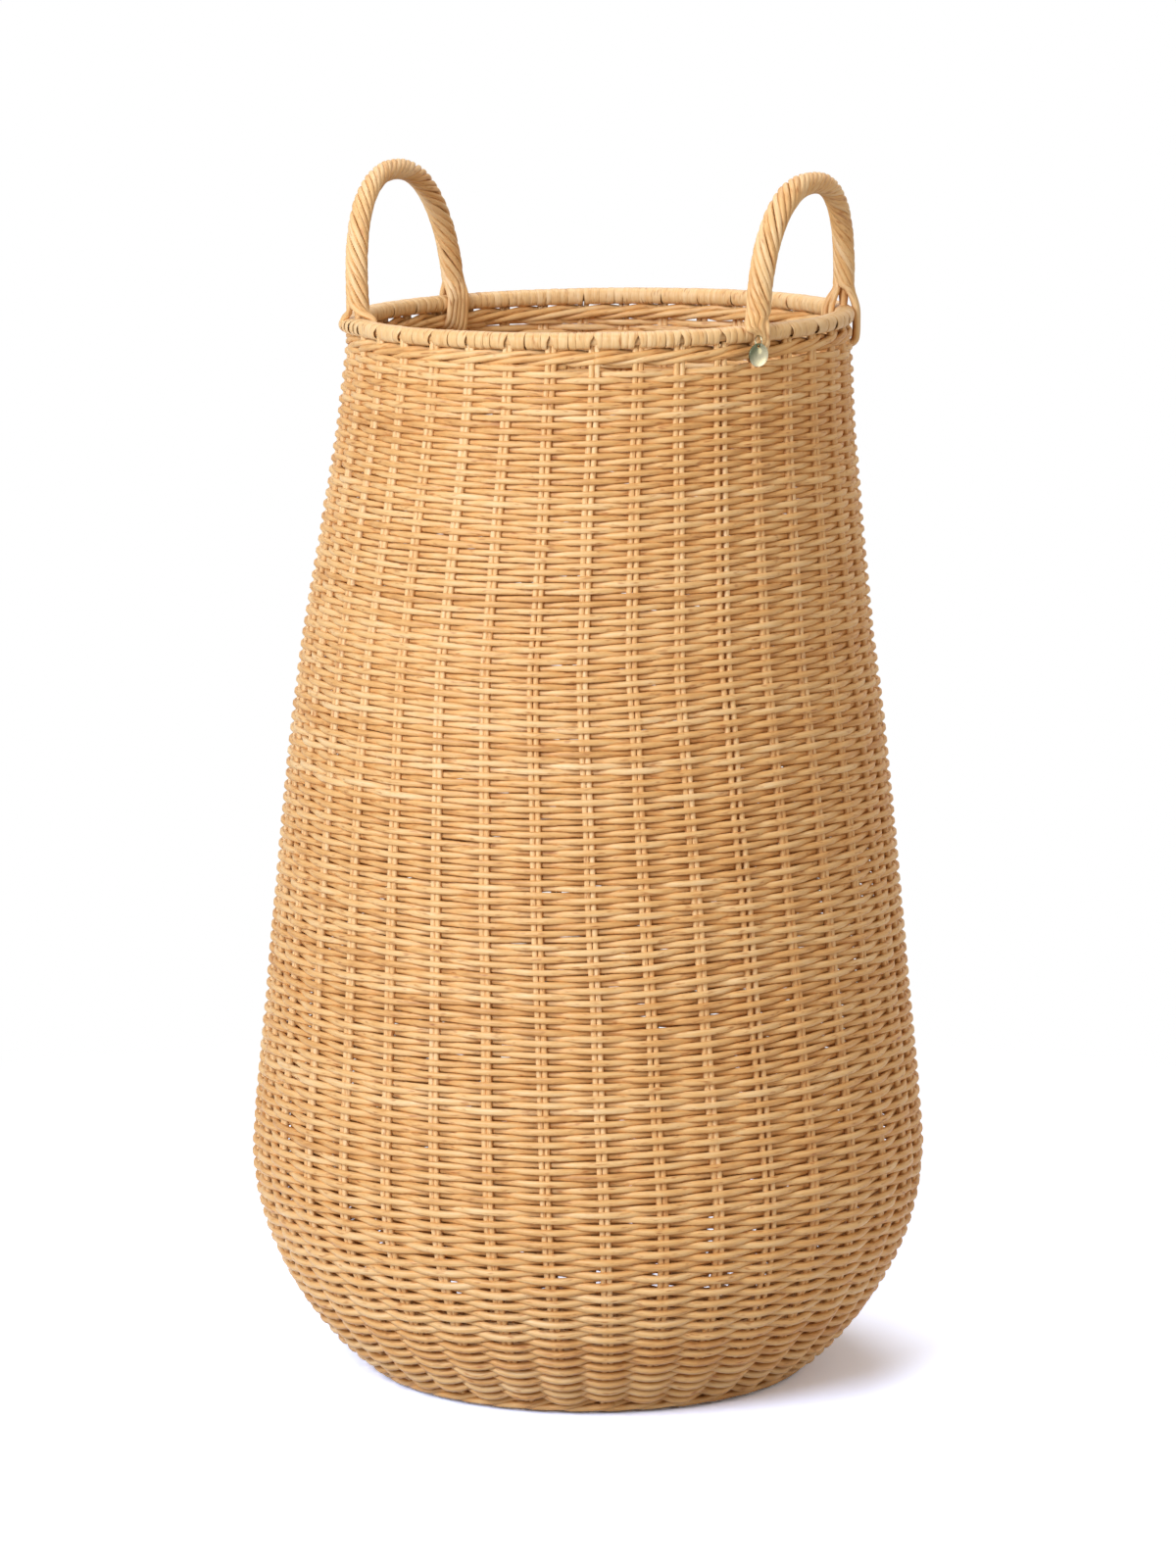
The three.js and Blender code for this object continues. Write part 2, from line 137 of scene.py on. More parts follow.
def curve_through(points, steps):
    """A Catmull-Rom spline through points, with so many steps from each one to the next."""
    points = np.asarray(points, float)
    padded = np.concatenate([points[:1], points, points[-1:]])
    spans = []
    for before, start, end, after in zip(padded, padded[1:], padded[2:], padded[3:]):
        t = np.linspace(0, 1, steps, endpoint=False)[:, None]
        leave, arrive = (end - before) / 2, (after - start) / 2
        spans.append(
            (2 * start - 2 * end + leave + arrive) * t**3
            + (-3 * start + 3 * end - 2 * leave - arrive) * t**2
            + leave * t
            + start
        )
    return np.concatenate(spans + [points[-1:]])


taper_curve = curve_through(TAPER, 60)


def outer_radius(height):
    to_floor = np.clip(1 - height / BELLY_HEIGHT, 0, 1)
    below = FOOT_RADIUS + (BELLY_RADIUS - FOOT_RADIUS) * (1 - to_floor**2) ** FOOT_ROUNDNESS
    to_mouth = np.clip((height - BELLY_HEIGHT) / (MOUTH_HEIGHT - BELLY_HEIGHT), 0, 1)
    above = BELLY_RADIUS - (BELLY_RADIUS - MOUTH_RADIUS) * np.interp(to_mouth, *taper_curve.T)
    return np.where(height < BELLY_HEIGHT, below, above)


class Wall:
    """The wall by arc length up its outer face: radius, height and outward normal."""

    def __init__(self):
        low = np.linspace(0, FINE_BELOW, FINE_STEPS, endpoint=False)
        height = np.concatenate([low, np.linspace(FINE_BELOW, RIM_TOP, WIDE_STEPS)])
        radius = outer_radius(height)
        self.arc = np.concatenate([[0], np.cumsum(np.hypot(np.diff(radius), np.diff(height)))])
        along = unit(np.stack([np.gradient(radius, self.arc), np.gradient(height, self.arc)], 1))
        self.height = height
        self.profile = radius, height, along[:, 1], -along[:, 0]

    def arc_at(self, height):
        return np.interp(height, self.height, self.arc)

    def at(self, arc):
        """Radius and height of the wall, and how far its normal points outwards and upwards."""
        return [np.interp(arc, self.arc, values) for values in self.profile]

    def points(self, arc, angle, depth, sideways=0.0):
        """Points of the wall and the outward direction there: so deep under the outer face."""
        radius, height, out, up = self.at(arc)
        turned = angle + STAKE_DRIFT * np.clip(1 - height / LEAN_START, 0, 1)
        lean = MOUTH_LEAN * np.clip((height - LEAN_START) / (MOUTH_HEIGHT - LEAN_START), 0, 1)
        cosine, sine = np.cos(turned), np.sin(turned)
        inside = radius - depth * out
        x = inside * cosine - sideways * sine + lean
        y = inside * sine + sideways * cosine
        return np.stack([x, y, height - depth * up], -1), unit(turned_points(out, turned, up))


wall = Wall()


def stake_angle(number):
    return FIRST_STAKE + TURN * number / STAKE_COUNT


# Rods: every piece of rattan is a section carried along a line

ROW_MARGIN = 0.08  # empty share of a row of the bake map, at each long edge


def lengths_along(path):
    return np.concatenate([[0], np.cumsum(np.linalg.norm(np.diff(path, axis=0), axis=1))])


def new_mesh(name, points, faces, shade):
    """A smooth mesh, from points in millimetres that each have a shade."""
    data = bpy.data.meshes.new(name)
    data.from_pydata((points * MM).tolist(), [], faces.tolist())
    data.polygons.foreach_set("use_smooth", np.ones(len(faces), bool))
    data.attributes.new("shade", "FLOAT", "POINT").data.foreach_set("value", shade)
    return data


def section(sides, roundness=1.0):
    """The section of a rod, from a round one, of roundness 1, down to a square one, of 0."""
    around = (np.arange(sides) + 0.5) * TURN / sides
    circle = np.stack([np.sin(around), np.cos(around)], 1)
    return np.sign(circle) * np.abs(circle) ** roundness


class Rods:
    """Rods of one section in one mesh. Each vertex keeps its place in its rod as grain."""

    def __init__(self, outline):
        self.outline = np.array(outline)
        self.points, self.grain, self.shade, self.quads, self.strips = [], [], [], [], []
        self.count = 0

    def add(self, path, radius, outward, shade, wide=1.0):
        """A rod along path. outward is the side of it that its section's second number points to."""
        sides = len(self.outline)
        along = unit(np.gradient(path, axis=0))
        out = unit(outward - (outward * along).sum(1, keepdims=True) * along)
        across = np.cross(out, along)
        radius, wide = (np.broadcast_to(size, len(path))[:, None] for size in (radius, wide))
        along_x = radius * wide * self.outline[:, 0]
        along_y = radius * self.outline[:, 1]
        points = path[:, None] + along_x[..., None] * across[:, None] + along_y[..., None] * out[:, None]
        length = lengths_along(path)
        grain = np.stack([np.broadcast_to(length[:, None], along_y.shape), along_x, along_y], -1)
        rings = np.arange(len(path) - 1)[:, None] * sides
        side = np.arange(sides)[None, :]
        after = (side + 1) % sides
        skin = np.stack([rings + side, rings + after, rings + sides + after, rings + sides + side], -1)
        half = np.arange(sides // 2 - 1)
        cap = np.stack([half, half + 1, sides - 2 - half, sides - 1 - half], -1)
        quads = np.concatenate([skin.reshape(-1, 4), cap[:, ::-1], cap + (len(path) - 1) * sides])
        self.strips.append((length, len(quads), float(np.mean(radius))))
        self.quads.append(quads + self.count)
        self.points.append(points.reshape(-1, 3))
        self.grain.append(grain.reshape(-1, 3))
        self.shade.append(np.full(len(path) * sides, shade, float))
        self.count += len(path) * sides

    def bake_map(self):
        """Places on a square image, one strip after another, for when the finish is baked."""
        total = sum(length[-1] for length, *_ in self.strips)
        widest = max(radius for *_, radius in self.strips)
        rows = max(int(sqrt(total / (TURN * widest))), 1)
        row_length = total / rows
        sides = len(self.outline)
        side = np.arange(sides)[None, :]
        used = (1 - 2 * ROW_MARGIN) / sides
        done = 0.0
        faces = []
        for length, quad_count, _ in self.strips:
            start = done + length[:-1, None] + 0 * side
            step = np.diff(length)[:, None] + 0 * side
            row = np.floor(start / row_length)
            left = start / row_length - row
            right = np.minimum(left + step / row_length, 1)
            low = (row + ROW_MARGIN + used * side) / (rows + 1)
            high = low + used / (rows + 1)
            corners = np.stack([left, low, left, high, right, high, right, low], -1).reshape(-1, 4, 2)
            caps = np.tile(corners[-1:], (quad_count - len(corners), 1, 1))
            faces += [corners, caps]
            done += length[-1]
        return np.concatenate(faces)

    def mesh(self, name):
        points, quads, shade = (np.concatenate(kept) for kept in (self.points, self.quads, self.shade))
        data = new_mesh(name, points, quads, shade)
        grain = data.attributes.new("grain", "FLOAT_VECTOR", "POINT")
        grain.data.foreach_set("vector", np.concatenate(self.grain).ravel())
        places = data.uv_layers.new(name="OFBake")
        places.uv.foreach_set("vector", self.bake_map().astype(np.float32).ravel())
        data.update(calc_edges=True)
        return in_scene(name, data)


def in_scene(name, data):
    """A new object in the scene, of a mesh, a lamp or a camera."""
    made = bpy.data.objects.new(name, data)
    bpy.context.scene.collection.objects.link(made)
    return made


# Shader nodes


def new_material(name):
    material = bpy.data.materials.new(name)
    material.use_nodes = True
    tree = material.node_tree
    return material, tree, tree.nodes["Principled BSDF"]


def feed(made, name, value):
    """Set an input of a node to a value, or link another node's output to it."""
    if isinstance(value, bpy.types.NodeSocket):
        made.id_data.links.new(value, made.inputs[name])
    else:
        made.inputs[name].default_value = value


def node(tree, kind, *values, **settings):
    """A node with its first inputs fed in order. A name that is not an input is a setting of the node."""
    made = tree.nodes.new("ShaderNode" + kind)
    for name, value in settings.items():
        label = name.replace("_", " ")
        if label in made.inputs:
            feed(made, label, value)
        else:
            setattr(made, name, value)
    for place, value in enumerate(values):
        feed(made, place, value)
    return made


def attribute(tree, name, output):
    return node(tree, "Attribute", attribute_name=name).outputs[output]


def ramp(tree, factor, stops):
    made = node(tree, "ValToRGB", factor)
    bands = made.color_ramp.elements
    while len(bands) < len(stops):
        bands.new(0.5)
    for band, (place, colour) in zip(bands, stops):
        band.position = place
        band.color = (*colour, 1)
    return made.outputs["Color"]


def arithmetic(tree, operation, first, second):
    return node(tree, "Math", first, second, operation=operation).outputs[0]


def stretched_noise(tree, grain, scale, detail=2.0, roughness=0.5):
    """Noise over a rod's own grain, scaled along it, across it and through it."""
    place = node(tree, "VectorMath", grain, scale, operation="MULTIPLY").outputs[0]
    noise = node(tree, "TexNoise", Vector=place, Scale=1.0, Detail=detail, Roughness=roughness)
    return noise.outputs["Fac"]


def surface(tree, shader, gloss, roughness, height, relief, depth):
    """Roughness between two values, as gloss goes from 0 to 1, and a bump of so many metres."""
    shine = node(tree, "MapRange", gloss, To_Min=roughness[0], To_Max=roughness[1])
    feed(shader, "Roughness", shine.outputs["Result"])
    bump = node(tree, "Bump", Height=height, Strength=relief, Distance=depth)
    feed(shader, "Normal", bump.outputs["Normal"])


# Rattan: its tone goes from 0 to 1 through a row of colours

HONEY = [
    (0.0, (0.85, 0.585, 0.31)),
    (0.35, (0.79, 0.48, 0.2)),
    (0.65, (0.71, 0.375, 0.125)),
    (1.0, (0.49, 0.215, 0.06)),
]
STRAW = [
    (0.0, (0.86, 0.61, 0.345)),
    (0.4, (0.81, 0.515, 0.235)),
    (0.7, (0.74, 0.42, 0.16)),
    (1.0, (0.54, 0.26, 0.085)),
]
DARK_MARKS = [(0.6, (1, 1, 1)), (0.8, (0.6, 0.4, 0.26))]

# How fine each kind of noise is along a rod, across it and through it
FIBRES_ALONG = 0.03
DRIFT_GRAIN = (0.012, 0.1, 0.1)
PATCH_GRAIN = (0.09, 0.35, 0.35)
MARK_GRAIN = (0.14, 0.6, 0.6)
ROD_APART = (9000, 410, 730)  # how far the noise moves as the shade of a rod goes from 0 to 1

# How much each part adds to the tone
ROD_TONE = 0.4
DRIFT_TONE = 0.74
PATCH_TONE = 0.82
LEAST_TONE = 0.5  # taken off again, together with the mean of the fibres


def rattan(name, tones, roughness=0.5, streak_scale=1.6, streaks=0.7, relief=0.35):
    """Peeled rattan: a tone for each rod, long drifts of colour, fine fibres along it, a few dark marks."""
    material, tree, shader = new_material(name)
    place = attribute(tree, "grain", "Vector")
    shade = attribute(tree, "shade", "Fac")
    grain = node(tree, "VectorMath", shade, ROD_APART, place, operation="MULTIPLY_ADD").outputs[0]
    fibres = stretched_noise(tree, grain, (FIBRES_ALONG, streak_scale, streak_scale), 3, 0.6)
    drifts = stretched_noise(tree, grain, DRIFT_GRAIN)
    patches = stretched_noise(tree, grain, PATCH_GRAIN)
    marks = stretched_noise(tree, grain, MARK_GRAIN, 1)

    tone = arithmetic(tree, "MULTIPLY", shade, ROD_TONE)
    for part, weight in ((drifts, DRIFT_TONE), (patches, PATCH_TONE), (fibres, streaks)):
        tone = arithmetic(tree, "ADD", tone, arithmetic(tree, "MULTIPLY", part, weight))
    tone = arithmetic(tree, "SUBTRACT", tone, LEAST_TONE + streaks / 2)
    mixed = node(tree, "Mix", 1, data_type="RGBA", blend_type="MULTIPLY")
    feed(mixed, 6, ramp(tree, tone, tones))
    feed(mixed, 7, ramp(tree, marks, DARK_MARKS))
    feed(shader, "Base Color", mixed.outputs[2])

    height = arithmetic(tree, "ADD", fibres, arithmetic(tree, "MULTIPLY", patches, 0.6))
    surface(tree, shader, fibres, (roughness - 0.08, roughness + 0.12), height, relief, 0.0004)
    feed(shader, "IOR", 1.45)
    feed(shader, "Specular IOR Level", 0.6)
    return material


# Brass: pale to dark, by the painted shade across the disc and by faint random clouds

BRASS = [
    (0.25, (0.66, 0.61, 0.43)),
    (0.6, (0.42, 0.39, 0.26)),
    (0.9, (0.13, 0.14, 0.08)),
]
CLOUD_SCALE = 260.0
CLOUD_TONE = 0.3


def brass():
    """Polished brass with painted shade, darker to one side, and the faint unevenness of a stamped disc."""
    material, tree, shader = new_material("brass")
    feed(shader, "Metallic", 1)
    place = node(tree, "TexCoord").outputs["Object"]
    cloud = node(tree, "TexNoise", Vector=place, Scale=CLOUD_SCALE, Detail=3.0).outputs["Fac"]
    tarnish = arithmetic(tree, "MULTIPLY", cloud, CLOUD_TONE)
    # the shade attribute holds painted shade on the disc, darker to the upper left; the clouds add faint
    # random tarnish
    tone = arithmetic(tree, "ADD", attribute(tree, "shade", "Fac"), tarnish)
    feed(shader, "Base Color", ramp(tree, tone, BRASS))
    surface(tree, shader, cloud, (0.16, 0.34), cloud, 0.25, 0.0003)
    return material


FINISHES = {
    "rattan_weave": rattan("weave_rattan", HONEY),
    "rattan_stakes": rattan("stake_rattan", STRAW),
    "rattan_rope": rattan("rope_rattan", STRAW, relief=0.45),
    "cane_binding": rattan("cane", STRAW, roughness=0.45, streak_scale=3.2, streaks=1.1, relief=0.5),
    "brass_tag": brass(),
}


def fit_out(piece, slot, *nodes, body="basket"):
    """Finish a piece for its slot, and say which body it rides and which nodes it replaces."""
    piece.data.materials.append(FINISHES[slot])
    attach(piece, body)
    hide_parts(*nodes)


# The weave of the wall: one rod wound up the wall in a long spiral, before one stake and behind the next

# By height: rise of the spiral in a turn, radius of the rod as a share of that, and its swing to each side
ROW_PITCH = [(14, 4.1), (60, 3.95), (135, 3.65), (250, 3.5), (611, 3.5)]
ROD_FILL = [(14, 0.515), (60, 0.55), (100, 0.555), (160, 0.54), (300, 0.545), (450, 0.55), (611, 0.56)]
ROD_SWING = [(14, 3.4), (50, 2.75), (95, 2.6), (150, 2.55), (300, 2.35), (450, 2.1), (611, 2.0)]
ROD_PROUD = 0.35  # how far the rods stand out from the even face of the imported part
PRESSED_FLAT = 0.72  # roundness of rods that lie against each other
CROSSING = 0.25  # share of its swing within which a rod is pressed narrow by the next row
FULL_WAVE = 1.1  # how much fuller than a sine a swing is
WAVE_SPREAD = 0.06
STEPS_PER_STAKE = 7
FIRST_ROW = 11  # arc length up the wall from the floor
LAST_ROW_GAP = 0.4  # from the last row to the top of the weave
WEAVE_PIECES = {"weave_foot": "foot_wale"}
WEAVE_PIECES |= {f"weave_lower_{letter}": "lower_weave" for letter in "ab"}
WEAVE_PIECES |= {f"weave_upper_{letter}": "upper_weave" for letter in "abc"}

# Lengths of rod: each ends inside the basket, laid a little way past the start of the next
ROD_LENGTHS = (1300, 2400)
LAST_ROD = 900
ROD_SIZES = (0.92, 1.05)
OVERLAP = 0.4  # in stakes
BENT_IN = 1.1
BENT_ASIDE = 0.7
BEND_LENGTH = 0.8  # in stakes

# The rows are level at the left of the camera's side, climb to the right and sink again at the back
ROW_CLIMB = 6
CLIMB_FROM = radians(-84)
CLIMB_LENGTH = radians(68)
SINK_AFTER = radians(110)

# How the rows stray: together in waves over the wall, rod by rod, and apart at a few loose spots
STRAY_WAVES = 9
STRAY_SIZE = 0.2
STRAY_LENGTHS = (60, 190)
ROD_STRAY = 0.26
LOOSE_SPOTS = 110
LOOSE_ROWS = (6, 171)  # low rows are the likelier ones
LOOSE_SIZES = (0.2, 0.8)
LOOSE_WIDTHS = (0.05, 0.12)
LOOSE_REACH = 1.6  # in rows


def row_climb(angle):
    """Share of the climb that the rows have made at an angle about the basket."""
    turned = np.mod(angle - CLIMB_FROM, TURN)
    return smooth_step(0, CLIMB_LENGTH, turned) - smooth_step(SINK_AFTER, TURN, turned)


def weave_middle(height):
    """How deep under the outer face the middle of the weave lies."""
    radius = by_table(height, ROW_PITCH) * by_table(height, ROD_FILL)
    return radius + by_table(height, ROD_SWING) - ROD_PROUD


def spiral_rows():
    """Arc length up the wall at each turn of the spiral."""
    high = wall.arc_at(MOUTH_HEIGHT) - LAST_ROW_GAP
    rows = [FIRST_ROW]
    while rows[-1] < high:
        rows.append(rows[-1] + by_table(wall.at(rows[-1])[1], ROW_PITCH))
    return np.array(rows[:-1])


def uneven(angle, arc):
    """How far the rows stray up or down together, over the whole wall."""
    source = draws("uneven")
    total = 0 * arc
    for _ in range(STRAY_WAVES):
        turns = source.integers(1, 9)
        length = source.uniform(*STRAY_LENGTHS)
        total = total + STRAY_SIZE * np.sin(turns * angle + TURN * arc / length + source.uniform(0, TURN))
    # The climb grows above the foot and is evened out again below the rim
    levelled = 1 - 0.55 * smooth_step(0.86, 1, arc / wall.arc_at(MOUTH_HEIGHT))
    grown = smooth_step(80, 260, arc) * levelled
    return total + grown * ROW_CLIMB * row_climb(angle)


def loose_spots(row, angle):
    """Small gaps where two rows have parted: the rows above stray up and those below stray down."""
    source = draws("loose")
    low, high = LOOSE_ROWS
    total = 0 * row
    for _ in range(LOOSE_SPOTS):
        at_row = int(low + (high - low) * source.uniform(0, 1) ** 1.6) + 0.5
        at_angle = source.uniform(0, TURN)
        size = source.uniform(*LOOSE_SIZES)
        across = np.angle(np.exp(1j * (angle - at_angle))) / source.uniform(*LOOSE_WIDTHS)
        near = np.exp(-(across**2)) * np.exp(-np.abs(row - at_row) / LOOSE_REACH)
        total = total + size * np.sign(row - at_row) * near
    return total


def rod_ends(source, radius, places):
    """Where each length of rod ends: always behind a stake, so that its ends lie inside the basket."""
    travelled = np.concatenate([[0], np.cumsum(radius[1:] * np.diff(places) * TURN / STAKE_COUNT)])
    cuts = [0]
    target = source.uniform(*ROD_LENGTHS)
    while target <= travelled[-1] - LAST_ROD:
        place = places[np.searchsorted(travelled, target)]
        behind = 2 * int(place / 2) + 1
        cuts.append(int(round((behind - places[0]) * STEPS_PER_STAKE)))
        target += source.uniform(*ROD_LENGTHS)
    return cuts + [len(places)]


def piece_tops(rows):
    """The place in the spiral where each piece of the weave ends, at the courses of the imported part."""
    foot, course = np.searchsorted(rows, wall.arc_at([FOOT_RISE, COURSE_HEIGHT]))
    upper = np.linspace(course, len(rows), 4)[1:].astype(int)
    return np.array([foot, (foot + course) // 2, course, *upper]) * STAKE_COUNT


def weave_wall():
    """The lengths of rod of the spiral, gathered into the pieces of the weave."""
    source = draws("weave")
    rows = spiral_rows()
    places = np.arange(0.5, (len(rows) - 1) * STAKE_COUNT - 0.5, 1 / STEPS_PER_STAKE)
    row = places / STAKE_COUNT
    angle = stake_angle(places)
    arc = np.interp(row, np.arange(len(rows)), rows)
    wall_radius, height, _, _ = wall.at(arc)
    pitch = by_table(height, ROW_PITCH)
    fill = by_table(height, ROD_FILL)
    stray = uneven(angle, arc) + loose_spots(row, angle) + wander(source, places, 1, ROD_STRAY)
    swing = np.cos(pi * places)
    wave = swing * (FULL_WAVE - (FULL_WAVE - 1) * swing**2) * (1 + wander(source, places, 1, WAVE_SPREAD))
    depth = weave_middle(height) - by_table(height, ROD_SWING) * wave
    narrow = 0.5 / fill  # where two rows meet at their crossing, each has half the pitch
    pressed = narrow + (1 - narrow) * np.minimum(np.abs(swing) / CROSSING, 1)
    cuts = rod_ends(source, wall_radius, places)
    overlap = round(OVERLAP * STEPS_PER_STAKE)
    tops = piece_tops(rows)
    made = [Rods(section(8, PRESSED_FLAT)) for _ in WEAVE_PIECES]
    for start, end in zip(cuts, cuts[1:]):
        piece = slice(max(start - overlap, 0), min(end + overlap, len(places)))
        here = places[piece]
        bent = smooth_step(BEND_LENGTH, 0, np.minimum(here - here[0], here[-1] - here))
        aside = np.where(here < here.mean(), -1, 1) * bent * BENT_ASIDE
        thick = fill[piece] * source.uniform(*ROD_SIZES)
        radius = thick * pitch[piece] * (1 + wander(source, here, 5, 0.035))
        arc_here = arc[piece] + stray[piece] + aside
        path, outward = wall.points(arc_here, angle[piece], depth[piece] + BENT_IN * bent)
        centre = (places[start] + places[end - 1]) / 2
        rods = made[min(np.searchsorted(tops, centre, side="right"), len(made) - 1)]
        rods.add(path, radius, outward, source.uniform(0, 1), wide=pressed[piece])
    return made


for (weave_name, weave_node), woven in zip(WEAVE_PIECES.items(), weave_wall()):
    fit_out(woven.mesh(weave_name), "rattan_weave", weave_node)


# The stakes: pairs of rods from the base up through the wall into the rim

STAKE_SPREAD = (1.5, 1.75)  # from the middle of a pair to that of each rod
PARTED_STAKE = 3  # a stake whose two rods stand clearly apart
PARTED_SPREAD = 2.45
STAKE_PROUD = [(14, 0.1), (150, 0.35), (450, 0.5), (611, 0.55)]  # by height, outside the middle of the weave
STAKE_START = 3  # arc length up the wall at which a stake leaves the base
STAKE_STEP = 5.5
STAKE_TOP = 626
STAKE_BEND = [(98, 9), (103, 9), (108, 8.9), (113, 8.6), (117, 8)]  # radius and height, from base to wall


def stakes():
    rods = Rods(section(8, PRESSED_FLAT))
    arc = np.arange(STAKE_START, wall.arc_at(STAKE_TOP), STAKE_STEP)
    height = wall.at(arc)[1]
    middle = weave_middle(height) - by_table(height, STAKE_PROUD)
    for number in range(STAKE_COUNT):
        source = draws(f"stake {number}")
        shift = wander(source, arc, 55, 0.5)
        spread = PARTED_SPREAD if number == PARTED_STAKE else source.uniform(*STAKE_SPREAD)
        for side in (-1, 1):
            apart = spread + wander(source, arc, 40, 0.15)
            depth = middle + wander(source, arc, 45, 0.25)
            path, outward = wall.points(arc, stake_angle(number), depth, shift + side * apart)
            radius = STAKE_ROD * (1 + wander(source, arc, 80, 0.05))
            bend = stake_bend(number, side)
            path = np.concatenate([bend, path])
            outward = np.concatenate([np.tile(-UP, (len(bend), 1)), outward])
            radius = np.concatenate([np.full(len(bend), STAKE_ROD), radius])
            rods.add(path, radius, outward, source.uniform(0, 1))
    return rods


def stake_bend(number, side):
    """One rod of a stake where it bends from the base out to the wall."""
    outward, aside = facing(stake_angle(number) + STAKE_DRIFT)
    across = side * STAKE_SPREAD[0]
    return np.array([radius * outward + across * aside + height * UP for radius, height in STAKE_BEND])


stake_nodes = [f"stake_pair_{number:02d}" for number in range(1, STAKE_COUNT + 1)]
fit_out(stakes().mesh("stakes"), "rattan_stakes", *stake_nodes)


# Wales: rounds of four rods that each pass before two stakes, rising, and behind the next two, sinking

WALE_ROUNDS = 4
WALE_STEPS = 8  # from one stake to the next
WALE_PINCH = 0.3  # how much the rods press into the stakes
TOP_WALE_HEIGHT = 616.2
TOP_WALE_RISE = 3.3
FOOT_WALE_ARC = 4.9
FOOT_WALE_RISE = 2.5


def wale(rods, source, arc_middle, rise, lift=0.0):
    """Four rounds of rod over the stakes. arc_middle is the height of their middle as an arc length."""
    round_steps = STAKE_COUNT * WALE_STEPS
    places = np.arange(WALE_ROUNDS * round_steps + 1) / WALE_STEPS
    phase = (places - 0.5) % 4
    climb = np.where(phase < 2, phase - 1, 3 - phase)
    swing = np.clip(1.3 * np.sin(phase * pi / 2), -1, 1) * (STAKE_ROD + WALE_ROD - WALE_PINCH)
    angle = stake_angle(places)
    arc = arc_middle + rise * climb + lift * np.sin(angle - LIFT_ANGLE) + wander(source, places, 1, 0.25)
    for start in range(WALE_ROUNDS):
        piece = slice(start * round_steps, (start + 1) * round_steps + 3)
        thick = WALE_ROD * source.uniform(0.95, 1.05) * (1 + wander(source, places[piece], 4, 0.04))
        path, outward = wall.points(arc[piece], angle[piece], MID_WALL - swing[piece])
        rods.add(path, thick, outward, source.uniform(0, 1))


top_wale = Rods(section(10))
wale(top_wale, draws("top wale"), wall.arc_at(TOP_WALE_HEIGHT), TOP_WALE_RISE, RIM_LIFT)
fit_out(top_wale.mesh("wale_top"), "rattan_weave", "top_wale")


# The foot: a wale where the wall turns in, and a twisted border that stands on the floor

BORDER_RADIUS = 119.5
BORDER_TWIST = 2.35  # from the middle of the border to that of a strand
BORDER_ROD = 2.2
BORDER_STRANDS = 3
BORDER_TURNS = 11


def foot_wale():
    rods = Rods(section(10))
    source = draws("foot wale")
    wale(rods, source, FOOT_WALE_ARC, FOOT_WALE_RISE)
    places = np.linspace(0, TURN, 481)
    for strand in range(BORDER_STRANDS):
        turned = BORDER_TURNS * places + TURN * strand / BORDER_STRANDS
        radius = BORDER_RADIUS + BORDER_TWIST * np.cos(turned)
        height = BORDER_TWIST + BORDER_ROD + BORDER_TWIST * np.sin(turned)
        outward = turned_points(np.cos(turned), places, np.sin(turned))
        rods.add(turned_points(radius, places, height), BORDER_ROD, outward, source.uniform(0, 1))
    return rods


fit_out(foot_wale().mesh("foot_border"), "rattan_weave", "foot_wale")


# The base: spokes out of a crossed centre, and a spiral of weave over and under them

CROSSED = 9  # rods that lie side by side each way in the centre
CROSS_SPACING = 3.4
CROSS_HALF = 16
CROSS_LIFT = 1.5
SPOKE_RADII = (44, 66, BASE_RADIUS - 6)  # where a spoke leaves the centre, where it is fanned out, its end
EXTRA_RADII = (26, 60, BASE_RADIUS - 6)
BASE_WEAVE_RADII = (24, BASE_RADIUS + 1)
BASE_WEAVE_PITCH = 3.5
BASE_WEAVE_STEPS = 6
BASE_WEAVE_ROD = 1.7
BASE_SWING = BASE_ROD + 1.65
BASE_RODS = (520, 900)  # fewest and most steps in a length of rod
CLOSE_WAVES = 13  # half waves in a turn where the spokes lie too close to part
PARTING = (46, 50)  # radii between which the weave goes over to single spokes


def base_spokes():
    """Nine rods each way cross in the middle and fan out to the stakes, with one more for an odd number."""
    rods = Rods(section(8))
    source = draws("spokes")
    ends = [stake_angle(number) + STAKE_DRIFT for number in range(STAKE_COUNT)]
    groups = [ends[first : first + CROSSED] for first in range(0, 4 * CROSSED, CROSSED)]
    for pair in (0, 1):
        ahead, aside = facing(sum(groups[0]) / CROSSED + pair * pi / 2)
        level = (BASE_MIDDLE + (CROSS_LIFT if pair else -CROSS_LIFT)) * UP
        for place in range(CROSSED):
            offset = aside * ((place - CROSSED // 2) * CROSS_SPACING)
            far = groups[pair + 2][CROSSED - 1 - place]
            spots = [spoke_spot(far, radius) for radius in SPOKE_RADII[::-1]]
            spots += [offset + ahead * along + level for along in (-CROSS_HALF, 0, CROSS_HALF)]
            spots += [spoke_spot(groups[pair][place], radius) for radius in SPOKE_RADII]
            rods.add(curve_through(spots, 8), BASE_ROD, UP, source.uniform(0, 1))
    extra = curve_through([spoke_spot(ends[-1], radius) for radius in EXTRA_RADII], 8)
    rods.add(extra, BASE_ROD, UP, source.uniform(0, 1))
    return rods


def spoke_spot(angle, radius):
    return radius * facing(angle)[0] + BASE_MIDDLE * UP


